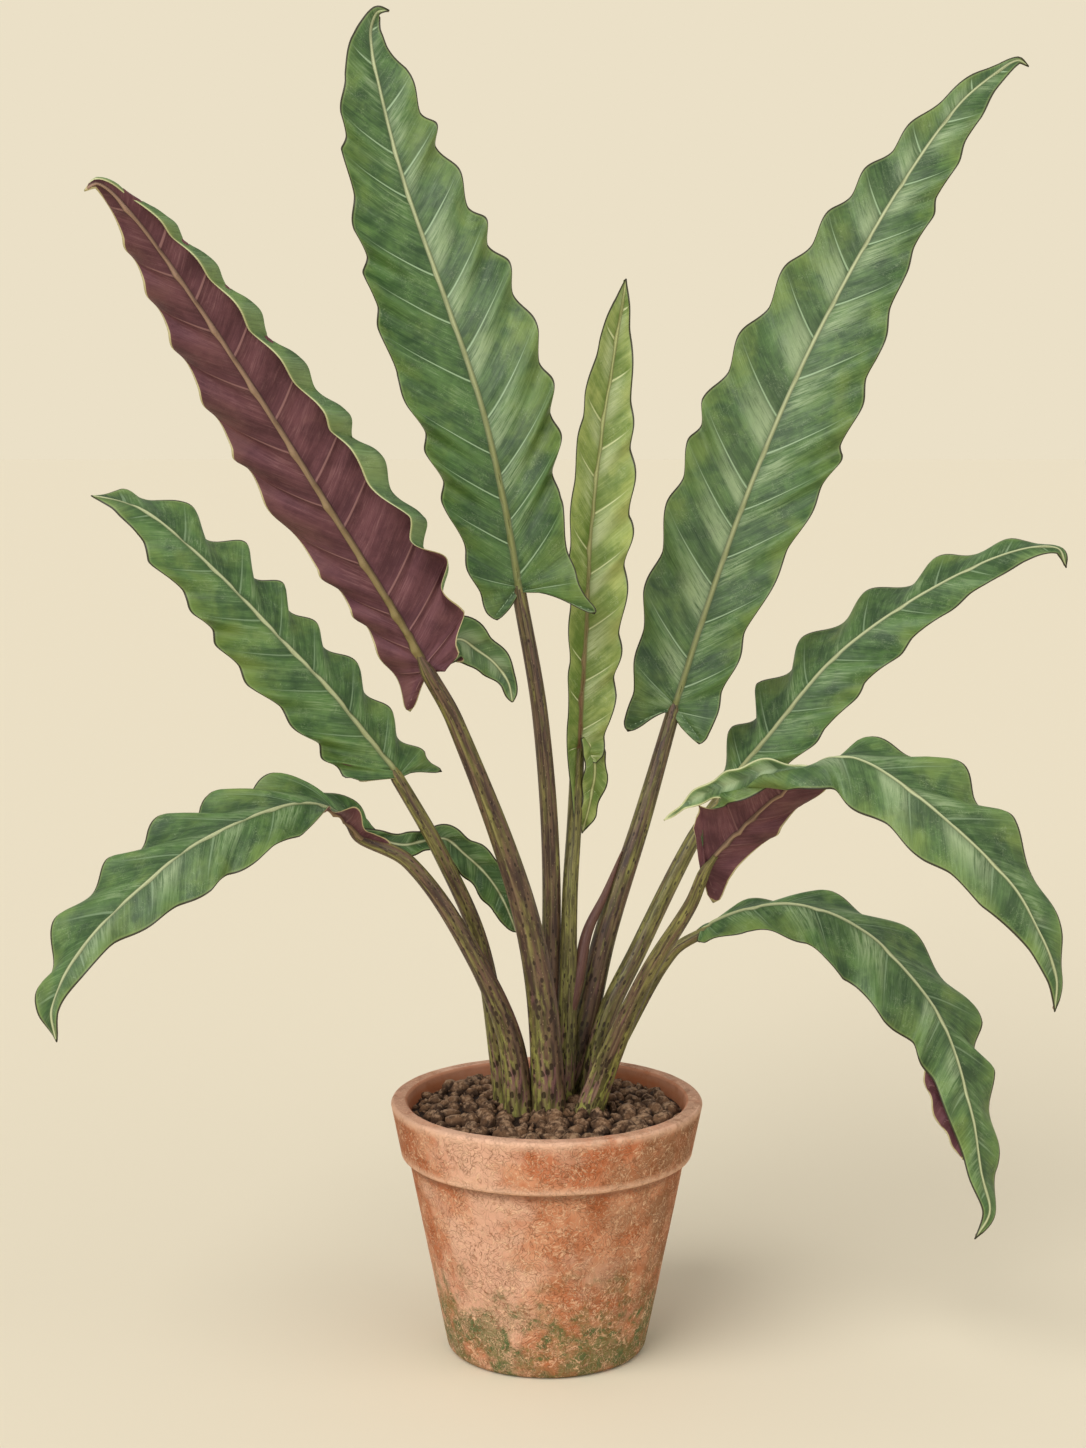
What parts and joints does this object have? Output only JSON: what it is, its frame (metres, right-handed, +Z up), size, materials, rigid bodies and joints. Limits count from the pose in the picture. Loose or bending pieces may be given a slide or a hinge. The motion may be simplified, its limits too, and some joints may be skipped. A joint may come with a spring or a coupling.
{
  "type": "potted alocasia lauterbachiana",
  "caption": "Upright aroid house plant with long wavy-edged arrow-shaped leaves, purple beneath, on mottled stalks in a round terracotta pot of dark soil.",
  "frame": {"origin": "under the middle of the whole outline, level with the pot's underside", "axes": "+Z up, -Y towards the front that the picture shows, +X to the right"},
  "size_m": [0.6506, 0.4014, 0.8637],
  "materials": {
    "clay": "matt unglazed terracotta with pale salt bloom and green algae",
    "earth": "loose dark potting soil",
    "leaf": "satin green upper side, purple-brown underside",
    "young_leaf": "satin light yellow-green",
    "stalk": "smooth brown-purple with green streaks and dark specks"
  },
  "bodies": {
    "root": {"terracotta_pot": "clay", "potting_soil": "earth", "stalk_upper_left": "stalk", "blade_upper_left": "leaf", "stalk_tall_left": "stalk", "blade_tall_left": "leaf", "stalk_young_middle": "stalk", "blade_young_middle": "young_leaf", "stalk_tall_right": "stalk", "blade_tall_right": "leaf", "stalk_back_right": "stalk", "blade_back_right": "leaf", "stalk_front_right": "stalk", "blade_front_right": "leaf", "stalk_low_right": "stalk", "blade_low_right": "leaf", "stalk_mid_left": "stalk", "blade_mid_left": "leaf", "stalk_low_left": "stalk", "blade_low_left": "leaf"}
  },
  "joints": []
}
